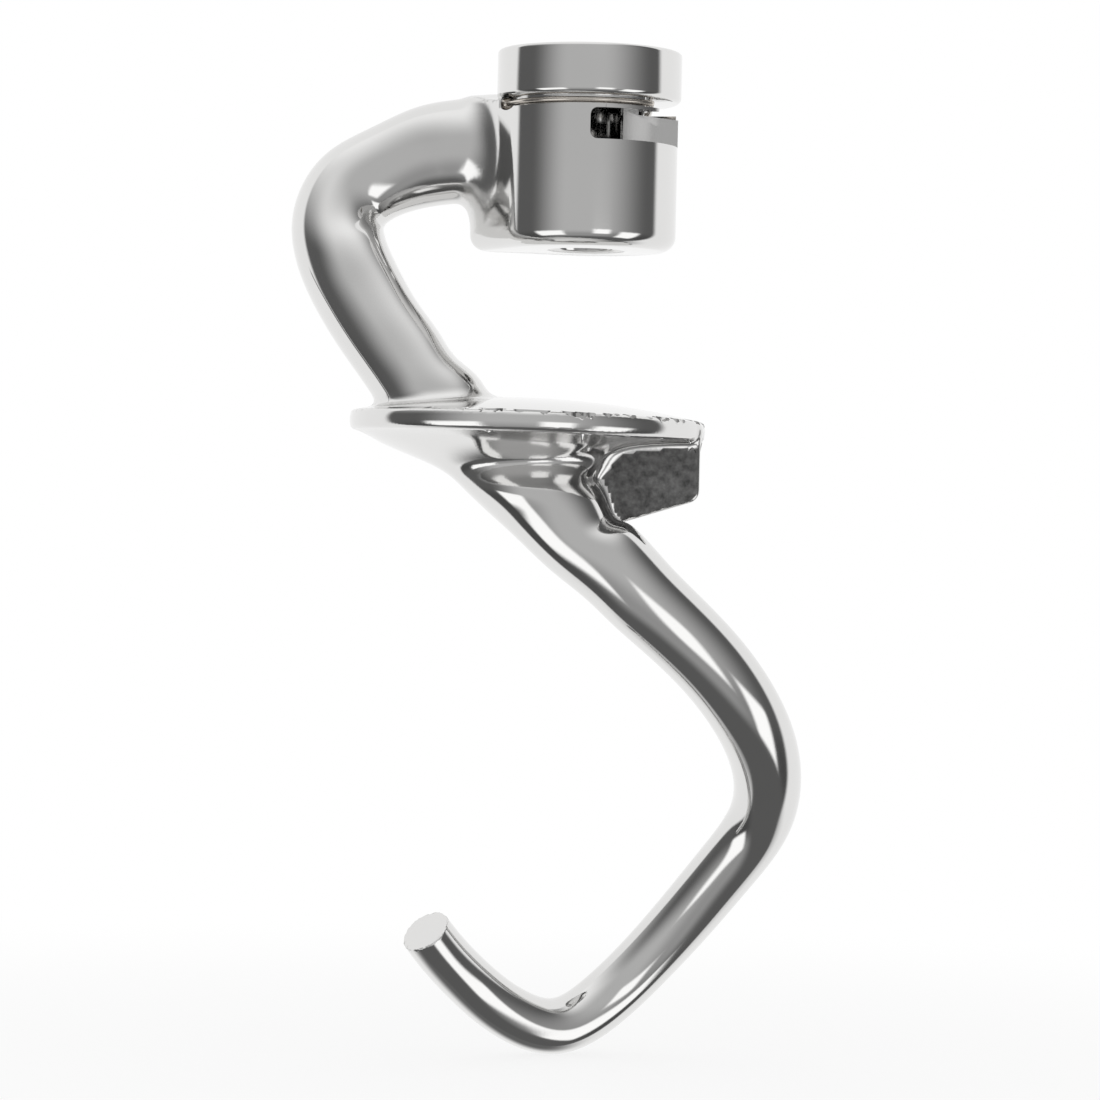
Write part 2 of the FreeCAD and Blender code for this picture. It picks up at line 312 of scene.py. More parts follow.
# Guard. The domed plate that stops dough from climbing, cast with the arm and ground
# round. It is turned about its own axis here, then tipped a little to the right.
GUARD_RADIUS = 32.4
GUARD_THICK = 3.4
GUARD_CROWN = 3.3
GUARD_AT = Vector((-9.9, 0.0, -66.6))
GUARD_LEAN = math.radians(0.9)
RIM_ROUND = 0.75
RIM_CURVE = 4.0
FOOT_SHARE = 0.9
TURN_STEPS = 256


# Points of an arc, in the plane of a profile, with angles in degrees
def arc(middle, radius, first, last, steps):
    angles = [math.radians(first + (last - first) * i / steps) for i in range(steps + 1)]
    return [(middle[0] + radius * math.cos(a), middle[1] + radius * math.sin(a)) for a in angles]


# A closed solid turned from a profile that starts and ends on the axis, top first
def turned(name, profile, steps=TURN_STEPS):
    rings = [p for p in profile if p[0] > 1e-6]
    verts = [(0.0, 0.0, profile[0][1] * MM)]
    for radius, height in rings:
        for i in range(steps):
            angle = 2 * math.pi * i / steps
            verts.append((radius * math.cos(angle) * MM, radius * math.sin(angle) * MM, height * MM))
    verts.append((0.0, 0.0, profile[-1][1] * MM))
    last = len(verts) - 1
    faces = []
    for i in range(steps):
        j = (i + 1) % steps
        faces.append((0, 1 + i, 1 + j))
        for k in range(len(rings) - 1):
            low = 1 + k * steps
            faces.append((low + i, low + steps + i, low + steps + j, low + j))
        faces.append((last, last - steps + j, last - steps + i))
    mesh = bpy.data.meshes.new(name)
    mesh.from_pydata(verts, [], faces)
    return mesh


def guard_profile():
    wall = RIM_CURVE - RIM_ROUND
    tilt = math.asin((GUARD_THICK / 2 - RIM_ROUND) / wall)
    rim = GUARD_RADIUS - RIM_CURVE + wall * math.cos(tilt)
    tilt = math.degrees(tilt)
    ball = (rim ** 2 + GUARD_CROWN ** 2 + 2 * GUARD_CROWN * RIM_ROUND) / (2 * GUARD_CROWN)
    dome_middle = GUARD_CROWN - ball
    meet = math.degrees(math.atan2(-RIM_ROUND - dome_middle, rim))
    dome = arc((0, dome_middle), ball, 90.0, meet, 64)
    top = arc((rim, -RIM_ROUND), RIM_ROUND, meet, tilt, 6)
    side = arc((GUARD_RADIUS - RIM_CURVE, -GUARD_THICK / 2), RIM_CURVE, tilt, -tilt, 10)
    foot = arc((rim, RIM_ROUND - GUARD_THICK), RIM_ROUND, -tilt, -90.0, 8)
    return dome + top[1:] + side[1:] + foot[1:] + [(rim * FOOT_SHARE, -GUARD_THICK), (0.0, -GUARD_THICK)]


guard_set = Matrix.Translation(GUARD_AT * MM) @ Matrix.Rotation(GUARD_LEAN, 4, "Y")
guard = turned("guard", guard_profile())
guard.transform(guard_set)


# Rod. The kneading spiral, poured with the rest: it leaves the whole underside of the
# guard as a trumpet, narrows to a neck, winds down left-handed and tapers to a cut end.
SEAT_IN = 1.6
SEAT_SINK = 0.3
# Stations: x, y, depth, lean, half width, half thickness
TRUMPET_STATIONS = [
    (-13.0, -1.1, 71.9, 0.5, 23.4, 21.4),
    (-10.9, -3.4, 75.0, 2.0, 17.0, 14.1),
    (-9.2, -8.3, 78.9, 6.8, 11.9, 12.0),
    (-5.25, -11.4, 83.3, 16.8, 9.7, 9.8),
    (-1.3, -13.0, 88.0, 23.4, 8.2, 8.3),
]
# Stations: turn about the shaft seen from above, reach, depth, half width, half thickness
ROD_STATIONS = [
    (286.0, 14.9, 91.9, 7.75, 7.7),
    (308.0, 18.1, 98.5, 7.4, 7.4),
    (319.0, 20.6, 102.5, 7.2, 7.2),
    (335.6, 26.6, 110.8, 6.95, 6.9),
    (347.2, 31.6, 119.5, 6.7, 6.6),
    (355.8, 34.2, 126.3, 6.45, 6.4),
    (364.0, 35.5, 133.1, 6.15, 6.2),
    (372.4, 35.0, 140.1, 5.95, 6.0),
    (382.0, 30.8, 148.9, 5.8, 5.85),
    (393.6, 26.1, 157.8, 5.65, 5.7),
    (407.4, 21.7, 166.2, 5.45, 5.5),
    (426.4, 16.9, 174.1, 5.35, 5.3),
    (460.0, 12.2, 178.9, 5.2, 5.1),
    (505.5, 13.3, 176.1, 5.0, 4.9),
    (534.0, 19.0, 169.4, 4.8, 4.7),
    (547.2, 24.2, 163.5, 4.7, 4.6),
    (552.0, 26.9, 160.3, 4.65, 4.5),
]
FINE_STEP = 0.05
ROUND = 2.0


# Rod stations with the way the rod runs at each, read from a curve through them all
def rod_rows():
    centres = []
    for turn, reach, depth, *_ in ROD_STATIONS:
        angle = math.radians(turn)
        centres.append((reach * math.cos(angle), reach * math.sin(angle), -depth))
    fine = joined(centres, FINE_STEP)
    ways = np.gradient(fine, axis=0)
    rows = []
    for centre, station in zip(centres, ROD_STATIONS):
        nearest = np.argmin(np.linalg.norm(fine - np.array(centre), axis=1))
        way = ways[nearest] / np.linalg.norm(ways[nearest])
        rows.append((*centre, *way, station[3], station[4], ROUND))
    return rows


def seat_row():
    middle = guard_set @ Vector((0, 0, (SEAT_SINK - GUARD_THICK) * MM)) / MM
    way = guard_set.to_3x3() @ Vector((0, 0, -1))
    radius = GUARD_RADIUS - SEAT_IN
    return (*middle, *way, radius, radius, ROUND)


spiral_rows = [seat_row()]
spiral_rows += [leaning(*row, ROUND) for row in TRUMPET_STATIONS]
spiral_rows += rod_rows()
rod = bar("rod", spiral_rows)


# Hub. The turned socket that slides on the mixer's shaft: a collar, a groove for the
# clip and a body with a lug behind it, which carries the arm. One casting with the arm.
COLLAR_RADIUS = 16.8
COLLAR_HEIGHT = 9.2
NECK_RADIUS = 14.5
NECK_HEIGHT = 1.8
BODY_RADIUS = 16.3
HUB_HEIGHT = 36.2
TOP_ROUND = 0.7
COLLAR_ROUND = 1.1
FOOT_ROUND = 2.8
LUG_AT = Vector((-15.8, 6.0, 0.0))
LUG_RADIUS = 5.5


def collar_profile():
    top = arc((COLLAR_RADIUS - TOP_ROUND, -TOP_ROUND), TOP_ROUND, 90.0, 0.0, 6)
    foot = arc((COLLAR_RADIUS - COLLAR_ROUND, COLLAR_ROUND - COLLAR_HEIGHT), COLLAR_ROUND, 0.0, -90.0, 8)
    return [(0.0, 0.0)] + top + foot + [(0.0, -COLLAR_HEIGHT)]


# The body's outline, drawn in by some amount: two circles and the flats between them
def body_ring(drawn_in, height, steps=320):
    away = math.atan2(LUG_AT.y, LUG_AT.x)
    spread = math.acos((BODY_RADIUS - LUG_RADIUS) / LUG_AT.length)
    ring = []
    for i in range(steps):
        past = 2 * math.pi * i / steps
        angle = away + past
        on_lug = past < spread or past > 2 * math.pi - spread
        middle = LUG_AT if on_lug else Vector()
        radius = (LUG_RADIUS if on_lug else BODY_RADIUS) - drawn_in
        ring.append(((middle.x + radius * math.cos(angle)) * MM,
                     (middle.y + radius * math.sin(angle)) * MM, height * MM))
    return ring


def body_solid():
    top = -COLLAR_HEIGHT
    rings = [body_ring(0.0, top)]
    for drawn_in, height in arc((FOOT_ROUND, FOOT_ROUND - HUB_HEIGHT), FOOT_ROUND, 180.0, 270.0, 10):
        rings.append(body_ring(drawn_in, height))
    steps = len(rings[0])
    verts = [v for ring in rings for v in ring]
    faces = [list(range(steps))]
    for k in range(len(rings) - 1):
        for i in range(steps):
            j = (i + 1) % steps
            faces.append((k * steps + i, (k + 1) * steps + i, (k + 1) * steps + j, k * steps + j))
    faces.append(list(range(len(verts) - 1, len(verts) - steps - 1, -1)))
    mesh = bpy.data.meshes.new("hub body")
    mesh.from_pydata(verts, [], faces)
    return mesh


collar = turned("collar", collar_profile())
body = body_solid()


# Web. A flat rib under the guard's right side, left rough by the grinder. It stiffens
# the guard where the rod turns away from it.
WEB_LEFT = -4.0
WEB_RIGHT = 21.4
WEB_FOOT = 81.3
WEB_HEEL = 2.0
WEB_DROP = 6.1
WEB_FRONT = -9.5
WEB_THICK = 4.5
WEB_ROUND = 1.6
WEB_EDGE = 0.45
WEB_SHARP = 0.8


def web_solid():
    top = GUARD_AT.z - GUARD_THICK / 2
    outline = [(WEB_LEFT, top), (WEB_RIGHT, top), (WEB_RIGHT, -WEB_FOOT),
               (WEB_HEEL, -WEB_FOOT - WEB_DROP), (WEB_LEFT, -WEB_FOOT)]
    shape = bmesh.new()
    front, back = [[shape.verts.new((x * MM, y * MM, z * MM)) for x, z in outline]
                   for y in (WEB_FRONT, WEB_FRONT + WEB_THICK)]
    shape.faces.new(front)
    shape.faces.new(back[::-1])
    for i in range(len(outline)):
        shape.faces.new((front[i - 1], back[i - 1], back[i], front[i]))
    # The outer lower corner is rounded first, then every edge is eased
    corner = [shape.edges.get((front[2], back[2]))]
    bmesh.ops.bevel(shape, geom=corner, offset=WEB_ROUND * MM, segments=6, profile=0.5, affect="EDGES")
    sharp = [e for e in shape.edges if len(e.link_faces) == 2 and e.calc_face_angle() > WEB_SHARP]
    bmesh.ops.bevel(shape, geom=sharp, offset=WEB_EDGE * MM, segments=3, profile=0.5, affect="EDGES")
    bmesh.ops.recalc_face_normals(shape, faces=shape.faces)
    mesh = bpy.data.meshes.new("web")
    shape.to_mesh(mesh)
    shape.free()
    return mesh


web = web_solid()


# Casting. Hub, arm, guard, rod and web leave the mould as one piece of aluminium, so
# their solids are merged, every inner corner is filled to the mould's radius, and the
# groove, bore, pin's way and window are then cut in, as they are after casting.
GRAIN_SIZE = 0.6
NEARBY = 4.0
BLENDS = [("arm", 3.4), ("guard", 2.2), ("rod", 1.8), ("web", 1.6)]
SETTLING = 3
STEEPEST = 0.2
INSIDE = -0.9
SMOOTH_TURN = math.radians(12)
SHARP_ANGLE = math.radians(50)
ON_SKIN = 0.02
FACING = 0.4
WEB_FACING = 0.95


def keep_edges_sharp(mesh):
    shape = bmesh.new()
    shape.from_mesh(mesh)
    for face in shape.faces:
        face.smooth = True
    for edge in shape.edges:
        edge.smooth = not (edge.is_manifold and edge.calc_face_angle() > SHARP_ANGLE)
    shape.to_mesh(mesh)
    shape.free()
    return mesh


# One solid that can be asked how far a point is outside it, and which way out is
class Solid:
    def __init__(self, mesh):
        keep_edges_sharp(mesh)
        places = np.array([v.co for v in mesh.vertices])
        self.low = places.min(axis=0)
        self.high = places.max(axis=0)
        self.places = [v.co.copy() for v in mesh.vertices]
        self.faces = [tuple(p.vertices) for p in mesh.polygons]
        self.starts = [p.loop_start for p in mesh.polygons]
        self.ways = [n.vector.copy() for n in mesh.corner_normals]
        self.tree = BVHTree.FromPolygons(places.tolist(), self.faces)

    # The way out at a point of one face, shaded smoothly across it
    def smooth_way(self, face, found):
        corners = self.faces[face]
        start = self.starts[face]
        shares = poly_3d_calc([self.places[i] for i in corners], found)
        way = Vector()
        for i, share in enumerate(shares):
            way += self.ways[start + i] * share
        return way.normalized()

    def measure(self, points, smooth):
        reach = NEARBY * MM
        gaps = np.full(len(points), reach)
        ways = np.zeros((len(points), 3))
        ways[:, 2] = 1.0
        nearly = math.cos(SMOOTH_TURN)
        close = np.where(np.all((points > self.low - reach) & (points < self.high + reach), axis=1))[0]
        for i in close:
            found, way, face, gap = self.tree.find_nearest(points[i], reach)
            if found is None:
                continue
            away = Vector(points[i]) - found
            side = -1.0 if away.dot(way) < INSIDE * gap else 1.0
            gaps[i] = side * gap
            if gap > 1e-6:
                way = away * (side / gap)
            if smooth:
                shaded = self.smooth_way(face, found)
                way = shaded if shaded.dot(way) > nearly else way
            ways[i] = way
        return gaps, ways


# Gap to the merged casting, with each inner corner filled by a smooth minimum, and how
# much of the surface there is such a fill
def casting_gap(points, solids, smooth=False):
    gap, way = solids["body"].measure(points, smooth)
    hollow = np.zeros(len(points))
    for name, radius in BLENDS:
        other_gap, other_way = solids[name].measure(points, smooth)
        radius *= MM
        share = np.clip(0.5 + 0.5 * (other_gap - gap) / radius, 0, 1)
        fill = share * (1 - share)
        hollow = np.maximum(hollow * share, 4 * fill)
        way = other_way * (1 - share)[:, None] + way * share[:, None]
        gap = other_gap * (1 - share) + gap * share - radius * fill
    return gap, way, hollow


def merged(meshes):
    shape = bmesh.new()
    for mesh in meshes:
        shape.from_mesh(mesh)
    together = bpy.data.meshes.new("together")
    shape.to_mesh(together)
    shape.free()
    holder = bpy.data.objects.new("together", together)
    scene.collection.objects.link(holder)
    skin = holder.modifiers.new("one skin", "REMESH")
    skin.mode = "VOXEL"
    skin.voxel_size = GRAIN_SIZE * MM
    graph = bpy.context.evaluated_depsgraph_get()
    made = bpy.data.meshes.new_from_object(holder.evaluated_get(graph))
    bpy.data.objects.remove(holder)
    return made


# Moves points of the skin onto the exact, filleted surface
def onto_surface(places, solids):
    gap, way, _ = casting_gap(places, solids)
    size = np.einsum("ij,ij->i", way, way)
    return places - way * (gap / np.maximum(size, STEEPEST))[:, None]


# One property of every vertex, edge, face or corner, as rows of numbers
def read(items, name, width=1, kind=float):
    values = np.empty(len(items) * width, kind)
    items.foreach_get(name, values)
    return values.reshape(-1, width) if width > 1 else values


def settled(mesh, solids):
    places = read(mesh.vertices, "co", 3)
    pairs = read(mesh.edges, "vertices", 2, int)
    first, second = pairs.T
    share = np.bincount(pairs.ravel(), minlength=len(places))[:, None]
    for turn in range(SETTLING):
        if turn:
            middle = np.zeros_like(places)
            np.add.at(middle, first, places[second])
            np.add.at(middle, second, places[first])
            places += 0.5 * (middle / share - places)
        places = onto_surface(places, solids)
    mesh.vertices.foreach_set("co", places.ravel())
    mesh.update()
    return mesh


# Polished metal mirrors every facet, so the skin is shaded by the exact surface under
# it, while faces that were cut keep their own shading. Marks where the casting is
# hollow and where the web's faces were left unground.
def shaded(mesh, solids):
    keep_edges_sharp(mesh)
    places = read(mesh.vertices, "co", 3)
    gap, way, hollow = casting_gap(places, solids, True)
    way /= np.linalg.norm(way, axis=1)[:, None]
    on_skin = np.abs(gap) < ON_SKIN * MM
    normals = read(mesh.corner_normals, "vector", 3)
    vertex = read(mesh.loops, "vertex_index", 1, int)
    corners = read(mesh.polygons, "loop_total", 1, int)
    faces = np.repeat(read(mesh.polygons, "normal", 3), corners, axis=0)
    use = on_skin[vertex] & (np.einsum("ij,ij->i", faces, way[vertex]) > FACING)
    normals[use] = way[vertex][use]
    mesh.normals_split_custom_set(normals.tolist())
    web_gap, _ = solids["web"].measure(places, False)
    unground = on_skin & (np.abs(web_gap) < ON_SKIN * MM) & (np.abs(way[:, 1]) > WEB_FACING)
    for name, values in (("hollow", hollow * on_skin), ("unground", unground.astype(float))):
        mesh.attributes.new(name, "FLOAT", "POINT").data.foreach_set("value", values)
    return mesh


# An upright solid on an outline of x and y, in millimetres
def prism(outline, low, high):
    count = len(outline)
    verts = [(x * MM, y * MM, z * MM) for z in (low, high) for x, y in outline]
    faces = [list(range(count - 1, -1, -1)), list(range(count, 2 * count))]
    for i in range(count):
        j = (i + 1) % count
        faces.append((i, j, count + j, count + i))
    mesh = bpy.data.meshes.new("cutter")
    mesh.from_pydata(verts, [], faces)
    return mesh


def rectangle(left, right, front, back):
    return [(left, front), (right, front), (right, back), (left, back)]


def moved(mesh, matrix):
    mesh.transform(matrix)
    return mesh


# Joins each tool to the casting, or takes it away, in turn
def worked(mesh, tools, operation):
    for shape in tools:
        holder = bpy.data.objects.new("casting", mesh)
        tool = bpy.data.objects.new("tool", shape)
        scene.collection.objects.link(holder)
        scene.collection.objects.link(tool)
        step = holder.modifiers.new("work", "BOOLEAN")
        step.operation = operation
        step.solver = "MANIFOLD"
        step.object = tool
        graph = bpy.context.evaluated_depsgraph_get()
        mesh = bpy.data.meshes.new_from_object(holder.evaluated_get(graph))
        bpy.data.objects.remove(holder)
        bpy.data.objects.remove(tool)
    return mesh


# Bayonet. The shaft's cross pin drops down a channel, turns a quarter and seats in the
# window at the front, whose right side opens on a flat milled pocket.
BORE_RADIUS = 6.5
BORE_LEAD = 0.6
PIN_REACH = 10.5
PIN_WAY = 5.4
PIN_FLOOR = -17.2
WINDOW_HEIGHT = 5.6
WINDOW_LEFT = 0.2
WINDOW_RIGHT = 6.1
WINDOW_ROUND = 1.3
FLAT_OUT = 12.9
FLAT_TURN = math.radians(-42.0)
RAMP_OUT = 9.0
RAMP_WIDE = 14.0
RAMP_LIFT = 0.8
RAMP_DROP = 1.4
RAMP_TURN = math.radians(-14.0)
SNAP_OUT = 10.2
CLIP_POCKET_RADIUS = 1.45
CLIP_START_TURN = 190.0
CLIP_RADIUS = 15.1
CLIP_POCKET_FRONT = 0.6
CLIP_LEVEL = -COLLAR_HEIGHT - NECK_HEIGHT / 2
FAR_OUT = 34.0
PAST = 1.0


def bayonet_cutters():
    seat_top = PIN_FLOOR + WINDOW_HEIGHT
    lying = Matrix.Rotation(math.pi / 2, 4, "X")
    bore = prism(arc((0, 0), BORE_RADIUS, 0, 360, 180)[:-1], -HUB_HEIGHT - PAST, PAST)
    lead_top = BORE_LEAD - HUB_HEIGHT
    lead_foot = -HUB_HEIGHT - PAST / 2
    lead_radius = BORE_RADIUS + BORE_LEAD + PAST / 2
    lead = turned("lead", [(0.0, lead_top), (BORE_RADIUS, lead_top), (lead_radius, lead_foot),
                           (0.0, lead_foot)], 180)
    channel = prism(rectangle(0.0, PIN_REACH, -PIN_WAY / 2, PIN_WAY / 2), PIN_FLOOR, PAST)
    sweep = prism([(0.0, 0.0)] + arc((0, 0), PIN_REACH, -90, 0, 45), PIN_FLOOR, seat_top)
    corner = (WINDOW_LEFT + WINDOW_ROUND, PIN_FLOOR + WINDOW_ROUND)
    left_side = arc((corner[0], seat_top - WINDOW_ROUND), WINDOW_ROUND, 90, 180, 8)
    left_side += arc(corner, WINDOW_ROUND, 180, 270, 8)
    outline = left_side + [(WINDOW_RIGHT, PIN_FLOOR), (WINDOW_RIGHT, seat_top)]
    window = moved(prism(outline, 0.0, FAR_OUT), lying)
    pocket = prism(rectangle(FLAT_OUT, FAR_OUT, -BODY_RADIUS, BODY_RADIUS), PIN_FLOOR, seat_top)
    pocket.transform(Matrix.Rotation(FLAT_TURN, 4, "Z"))
    ramp = prism(rectangle(RAMP_OUT, FAR_OUT, -RAMP_WIDE / 2, RAMP_WIDE / 2),
                 seat_top - RAMP_DROP + RAMP_LIFT, seat_top + RAMP_LIFT)
    ramp.transform(Matrix.Rotation(RAMP_TURN, 4, "Z"))
    snap = prism(rectangle(SNAP_OUT, FAR_OUT, -BODY_RADIUS, BODY_RADIUS),
                 -COLLAR_HEIGHT - NECK_HEIGHT, -COLLAR_HEIGHT)
    turn = math.radians(CLIP_START_TURN)
    seat = prism(arc((0, 0), CLIP_POCKET_RADIUS, 0, 360, 40)[:-1], 0.0, COLLAR_RADIUS)
    seat.transform(lying)
    seat_at = Vector((CLIP_RADIUS * math.cos(turn), CLIP_POCKET_FRONT, CLIP_LEVEL))
    seat.transform(Matrix.Translation(seat_at * MM))
    return [facing_out(c) for c in (bore, lead, channel, sweep, window, pocket, ramp, snap, seat)]


# Groove. The slot turned round the neck for the clip, under the collar. It stops on
# both sides of the arm, so that the arm keeps its whole section.
GROOVE_RADIUS = 16.9
GROOVE_FROM = -170.0
GROOVE_TO = 124.0
GROOVE_LAP = 0.5


def groove():
    foot = -COLLAR_HEIGHT - NECK_HEIGHT
    outer = arc((0, 0), GROOVE_RADIUS, GROOVE_FROM, GROOVE_TO, 160)
    inner = arc((0, 0), NECK_RADIUS, GROOVE_TO, GROOVE_FROM, 160)
    return facing_out(prism(outer + inner, foot, GROOVE_LAP - COLLAR_HEIGHT))


# Machining. The pieces of the mould become one casting, which has its groove cut and
# its collar turned, and is then bored and milled for the shaft and its pin.
parts = {"body": body, "arm": arm, "guard": guard, "rod": rod, "web": web}
solids = {name: Solid(mesh) for name, mesh in parts.items()}
casting = settled(merged(parts.values()), solids)
casting = worked(casting, [groove()], "DIFFERENCE")
casting = worked(casting, [collar], "UNION")
casting = worked(casting, bayonet_cutters(), "DIFFERENCE")
casting = shaded(casting, solids)
hook = bpy.data.objects.new("dough_hook_casting", casting)
scene.collection.objects.link(hook)


def material(name):
    made = bpy.data.materials.new(name)
    made.use_nodes = True
    made.node_tree.nodes.clear()
    return made, Term(made.node_tree, None)


def finish_material(made, shader):
    end = made.node_tree.nodes.new("ShaderNodeOutputMaterial")
    made.node_tree.links.new(shader.value, end.inputs["Surface"])
    return made


# Where the finish of the casting changes, in metres: each pair is where a place starts
# and where it is fully there. First the parting line down the outer side of the blade,
# then the flat pocket beside the window, then the hollow over the rod's head.
PARTING_SLOPE = 0.41
PARTING_AT = 0.0151
PARTING_WIDTH = (0.00016, 0.00006)
PARTING_FOOT = (-0.0655, -0.0640)
PARTING_TOP = (-0.0400, -0.0420)
PARTING_SIDE = (-0.0310, -0.0345)
POCKET_FACE = (0.00008, 0.00003)
POCKET_FOOT = (-0.0174, -0.0172)
POCKET_TOP = (-0.0106, -0.0108)
HEAD_FOOT = (-0.0810, -0.0775)
HEAD_TOP = (-0.0722, -0.0742)
HEAD_FRONT = (-0.0120, -0.0160)
METAL_TONE = 0.74
METAL_ROUGHNESS = 0.055
MOULD_GRAIN = 2400.0
FINE_GRAIN = 900.0
PATCHES = 60.0
LENGTHWAYS = (1.0, 1.0, 0.06)
GRAIN_DEPTH = 0.000012


# Ground and buffed aluminium: fine cast grain where the wheel didn't reach, faint
# scratches elsewhere, a thin parting line along the arm and a raw skin on the web.
def polished_aluminium():
    made, start = material("polished aluminium")
    place = start.node("ShaderNodeTexCoord", out=3)
    x, y, z = place.split()

    def noise(scale, detail, stretch=(1, 1, 1)):
        at = place.vector("MULTIPLY", stretch)
        return start.node("ShaderNodeTexNoise", {"Vector": at, "Scale": scale, "Detail": detail})

    def mark(name):
        return start.node("ShaderNodeAttribute", out=2, attribute_name=name)

    hollow = mark("hollow")
    unground = mark("unground").eased(0.25, 0.75)
    off_line = (y - PARTING_SLOPE * z - PARTING_AT).maths("ABSOLUTE")
    line = off_line.eased(*PARTING_WIDTH) * z.eased(*PARTING_FOOT) * z.eased(*PARTING_TOP)
    line = line * x.eased(*PARTING_SIDE)
    out = (x * math.cos(FLAT_TURN) + y * math.sin(FLAT_TURN) - FLAT_OUT * MM).maths("ABSOLUTE")
    pocket_flat = out.eased(*POCKET_FACE) * z.eased(*POCKET_FOOT) * z.eased(*POCKET_TOP)
    head = z.eased(*HEAD_FOOT) * z.eased(*HEAD_TOP) * y.eased(*HEAD_FRONT)
    grain = noise(MOULD_GRAIN, 2.0)
    patches = noise(PATCHES, 2.0)
    scratches = noise(FINE_GRAIN, 4.0, LENGTHWAYS)
    tone = METAL_TONE + 0.05 * (patches - 0.5)
    tone = tone * (1 - 0.80 * unground * (0.75 + 0.5 * noise(FINE_GRAIN, 4.0))) * (1 - 0.55 * line)
    # The flat face of the pocket beside the window is drawn darker here, and rougher below
    tone = tone * (1 - 0.28 * pocket_flat)
    base = start.node("ShaderNodeCombineColor", [tone, tone * 0.995, tone * 0.985])
    roughness = METAL_ROUGHNESS + 0.05 * patches + 0.10 * hollow + 0.30 * unground + 0.28 * pocket_flat
    rough_skin = 0.14 + 0.9 * hollow + 2.5 * unground + 1.2 * pocket_flat + 1.1 * head
    height = grain * rough_skin + 0.10 * scratches - 0.8 * line
    bump = start.node("ShaderNodeBump", {"Height": height, "Distance": GRAIN_DEPTH, "Strength": 1.0})
    shader = start.node("ShaderNodeBsdfPrincipled", {"Base Color": base, "Metallic": 1.0,
                                                      "Roughness": roughness, "Normal": bump})
    return finish_material(made, shader)


casting.materials.clear()
casting.materials.append(polished_aluminium())
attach(hook, "root")
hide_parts("hook_casting")


# Clip. One turn of round spring wire in the groove, with a ball at its end beside the
# arm and a straight side that snaps over the shaft's pin. Bent from plated steel wire.
CLIP_THICK = 1.0
CLIP_HEAD = 2.4
CLIP_CHORD = 11.2
CLIP_END_TURN = 122.0
WIRE_SIDES = 24
WIRE_TONE = 0.62
WIRE_GRAIN = 1500.0


# The node tree that thickens a line to round wire and puts a ball at its start
def wire_tree():
    tree, given, start = new_tree("sprung wire", "Wire", Line="Geometry", Thick="Float", Head="Float",
                                  Finish="Material")
    thick = Term(tree, given["Thick"])
    head = Term(tree, given["Head"])
    line = start.node("GeometryNodeMeshToCurve", [given["Line"]])
    ring = start.node("GeometryNodeCurvePrimitiveCircle", {"Resolution": WIRE_SIDES, "Radius": thick / 2},
                      mode="RADIUS")
    wire = start.node("GeometryNodeCurveToMesh", {"Curve": line, "Profile Curve": ring, "Fill Caps": True})
    index = start.node("GeometryNodeInputIndex")
    first = start.node("FunctionNodeCompare", {2: index, 3: 0}, data_type="INT", operation="EQUAL")
    points = start.node("GeometryNodeMeshToPoints", {"Mesh": given["Line"], "Selection": first})
    ball = start.node("GeometryNodeMeshUVSphere",
                      {"Segments": 2 * WIRE_SIDES, "Rings": WIRE_SIDES, "Radius": head / 2})
    balls = start.node("GeometryNodeInstanceOnPoints", {"Points": points, "Instance": ball})
    both = tree.nodes.new("GeometryNodeJoinGeometry")
    tree.links.new(wire.value, both.inputs[0])
    tree.links.new(balls.value, both.inputs[0])
    return ended(tree, given, Term(tree, both.outputs[0]))


def clip_line():
    bend = math.degrees(math.acos(CLIP_CHORD / CLIP_RADIUS))
    path = arc((0, 0), CLIP_RADIUS, CLIP_START_TURN, 360.0 - bend, 140)
    path += arc((0, 0), CLIP_RADIUS, bend, CLIP_END_TURN, 90)
    return line_of("clip", [(x * MM, y * MM, CLIP_LEVEL * MM) for x, y in path])


def spring_steel():
    made, start = material("spring steel")
    place = start.node("ShaderNodeTexCoord", out=3)
    drawn = start.node("ShaderNodeTexNoise", {"Vector": place, "Scale": WIRE_GRAIN, "Detail": 3.0})
    tone = WIRE_TONE + 0.08 * (drawn - 0.5)
    base = start.node("ShaderNodeCombineColor", [tone * 1.05, tone * 0.98, tone * 0.90])
    shader = start.node("ShaderNodeBsdfPrincipled", {"Base Color": base, "Metallic": 1.0,
                                                      "Roughness": 0.16 + 0.08 * drawn})
    return finish_material(made, shader)


wire_finish = spring_steel()
clip_mesh = grown(clip_line(), wire_tree(), Thick=CLIP_THICK * MM, Head=CLIP_HEAD * MM, Finish=wire_finish)
facing_out(clip_mesh)
clip_mesh.materials.clear()
clip_mesh.materials.append(wire_finish)
for polygon in clip_mesh.polygons:
    polygon.use_smooth = True
clip = bpy.data.objects.new("clip_wire", clip_mesh)
scene.collection.objects.link(clip)
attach(clip, "root")
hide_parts("spring_clip")


# Studio. A white backdrop all round behind the hook, and in front of it a grey room,
# lit from above, with three bright cards below the level, all mirrored in the metal.
# Turn goes round the hook from the camera, and rise goes up from the level, in degrees.
BACKDROP_LEFT = (98, 106)
BACKDROP_RIGHT = (93, 103)
BACKDROP_FALL = (42, 75)
BACKDROP_DARKENS = 0.85
DARK_ROOM = 0.12
FRONT_GLOW = 0.43
GLOW_LEFT = (-78, -26)
GLOW_RIGHT = (14, 86)
ROOF_LIGHT = 1.08
ROOF_RISE = (25, 80)
ROOF_SLANT = 0.15
LOWER_FALL = (3, 35)
LOWER_DARKENS = 0.35
TABLE_FALL = (40, 58)
# Cards: from turn, to turn, from rise, to rise
CARDS = [(-70, -31, -40, -11), (9, 31, -28, -3), (45, 73, -48, -11)]
CARD_EDGE = 4
CARD_LIGHT = 1.3
SOFT_LIGHT = 0.8


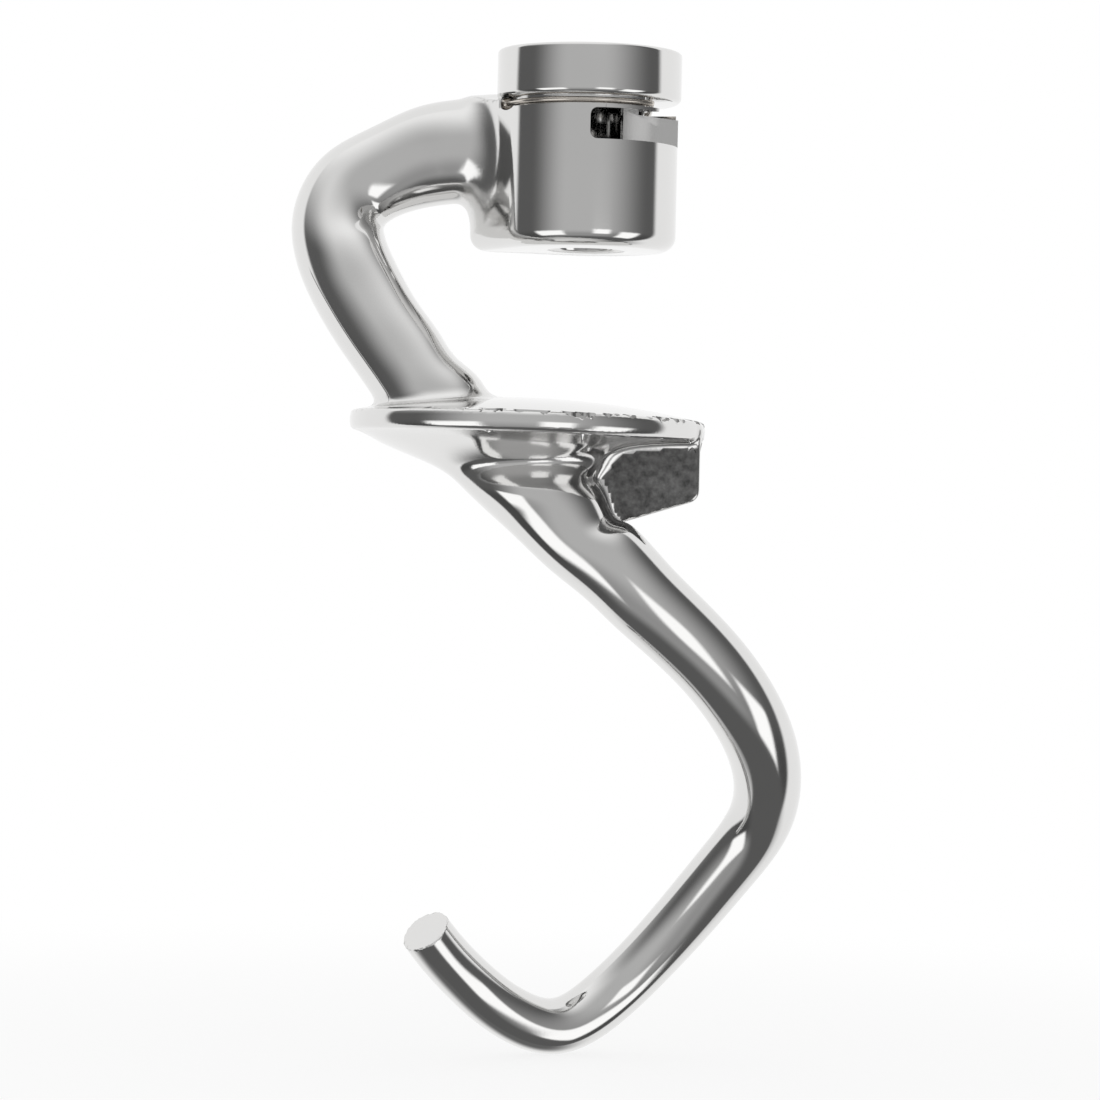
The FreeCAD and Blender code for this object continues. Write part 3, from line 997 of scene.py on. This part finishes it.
def studio_world():
    world = bpy.data.worlds.new("studio")
    world.use_nodes = True
    tree = world.node_tree
    tree.nodes.clear()
    start = Term(tree, None)
    way = start.node("ShaderNodeTexCoord", out=0)
    x, y, z = way.split()
    turn = x.maths("ARCTAN2", -1.0 * y) * (180 / math.pi)
    rise = z.maths("ARCSINE") * (180 / math.pi)

    fall = -1.0 * rise

    def band(value, low, high):
        into = value.eased(low - CARD_EDGE, low + CARD_EDGE)
        return into * (1 - value.eased(high - CARD_EDGE, high + CARD_EDGE))

    def mixed(first, second, share):
        return first + (second - first) * share

    backdrop = (-1.0 * turn).eased(*BACKDROP_LEFT) + turn.eased(*BACKDROP_RIGHT)
    room = DARK_ROOM + FRONT_GLOW * turn.eased(*GLOW_LEFT) * (1 - turn.eased(*GLOW_RIGHT))
    room = mixed(room, ROOF_LIGHT, (rise - ROOF_SLANT * turn).eased(*ROOF_RISE))
    room = room * (1 - LOWER_DARKENS * fall.eased(*LOWER_FALL))
    room = mixed(room, DARK_ROOM, fall.eased(*TABLE_FALL))
    cards = sum(band(turn, left, right) * band(rise, low, high) for left, right, low, high in CARDS)
    room = mixed(room, CARD_LIGHT, cards)
    behind = 1.0 - BACKDROP_DARKENS * fall.eased(*BACKDROP_FALL)
    light = mixed(room, behind, backdrop)
    seen = start.node("ShaderNodeLightPath", out="Is Camera Ray")
    mirrored = start.node("ShaderNodeLightPath", out="Is Glossy Ray")
    strength = seen + (1 - seen) * (mirrored * light + (1 - mirrored) * SOFT_LIGHT)
    background = start.node("ShaderNodeBackground", {"Strength": strength, "Color": (1, 1, 1, 1)})
    end = tree.nodes.new("ShaderNodeOutputWorld")
    tree.links.new(background.value, end.inputs["Surface"])
    return world


scene.world = studio_world()


# Floor. A wide pale board under the hook's lowest point, painted so that it keeps the
# hook's shadow near it and turns to plain white further off.
FLOOR_HALF = 4.0
FLOOR_TONE = (0.9, 0.9, 0.9, 1)
FLOOR_FADE = (0.16, 0.35, 0.82, 1.0)

corners = rectangle(-FLOOR_HALF, FLOOR_HALF, -FLOOR_HALF, FLOOR_HALF)
floor_mesh = bpy.data.meshes.new("floor")
floor_mesh.from_pydata([(x, y, cad_low.z) for x, y in corners], [], [(0, 1, 2, 3)])
floor = bpy.data.objects.new("floor", floor_mesh)
scene.collection.objects.link(floor)


# The metal mirrors the studio through the paint, as if the board weren't there
def pale_floor():
    made, start = material("pale floor")
    place = start.node("ShaderNodeTexCoord", out=3)
    fade = place.vector("LENGTH", out=1).eased(*FLOOR_FADE)
    seen = start.node("ShaderNodeLightPath", out="Is Camera Ray")
    mirrored = start.node("ShaderNodeLightPath", out="Is Glossy Ray")
    paint = start.node("ShaderNodeBsdfPrincipled", {"Base Color": FLOOR_TONE, "Roughness": 0.9})
    white = start.node("ShaderNodeEmission", {"Color": (1, 1, 1, 1), "Strength": 1.0})
    shown = start.node("ShaderNodeMixShader", [seen * fade, paint, white])
    clear = start.node("ShaderNodeBsdfTransparent")
    return finish_material(made, start.node("ShaderNodeMixShader", [mirrored, shown, clear]))


floor_mesh.materials.append(pale_floor())

scene.view_settings.view_transform = "Standard"
